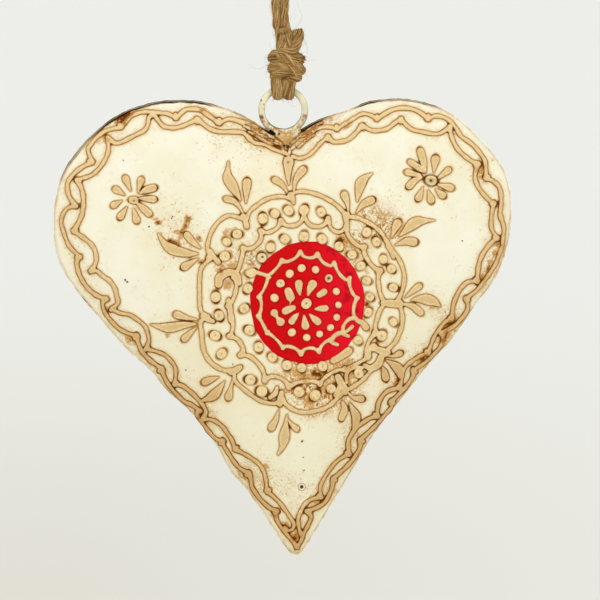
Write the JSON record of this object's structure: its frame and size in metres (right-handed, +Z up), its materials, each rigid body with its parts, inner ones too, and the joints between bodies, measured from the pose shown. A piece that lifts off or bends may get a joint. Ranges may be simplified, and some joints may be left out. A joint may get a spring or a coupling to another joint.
{
  "type": "tin heart ornament",
  "caption": "Puffed tin heart of pressed shells soldered at the rim, with piped paste trails, a painted roundel and a wire ring in its cleft, hung on a knotted jute cord.",
  "frame": {"origin": "where the top of the cord's loop bears on its nail", "axes": "+Z up, +X to the right of the decorated face as a viewer sees it, +Y from that face to the back"},
  "size_m": [0.151, 0.029, 0.2122],
  "materials": {
    "painted_tin": "antiqued cream paint, satin",
    "painted_seam": "worn cream paint over dark solder, satin",
    "ring_paint": "worn cream paint, satin",
    "cleft_paste": "solder under streaked brown paint, satin",
    "red_enamel": "red enamel paint, semi-gloss",
    "piped_paste": "tan paste with a brown wash, satin",
    "jute": "hairy jute twine, matt"
  },
  "bodies": {
    "hanger": {"cord_loop": "jute"},
    "knot": {"cord_core": "jute", "cord_knot": "jute", "cord_bights": "jute"},
    "heart": {"front_shell": "painted_tin", "back_shell": "painted_tin", "rim_seam": "painted_seam", "hanging_ring": "ring_paint", "ring_solder": "cleft_paste", "red_roundel": "red_enamel", "border_outer_trail": "piped_paste", "border_inner_trail": "piped_paste", "medallion_outline": "piped_paste", "medallion_scallop": "piped_paste", "centre_scallop": "piped_paste", "outer_dots": "piped_paste", "inner_dots": "piped_paste", "centre_dots": "piped_paste", "centre_flower": "piped_paste", "sprig_leaves": "piped_paste", "sprig_drops": "piped_paste", "left_flower": "piped_paste", "right_flower": "piped_paste"}
  },
  "joints": [
    {"name": "cord_twist", "type": "hinge", "parent": "hanger", "child": "knot", "pos_m": [0, 0, -0.036], "axis": [0, 0, 1], "range_deg": [-180, 180]},
    {"name": "ring_swing", "type": "hinge", "parent": "knot", "child": "heart", "pos_m": [0, 0, -0.05595], "axis": [1, 0, 0], "range_deg": [-110, 110]}
  ]
}
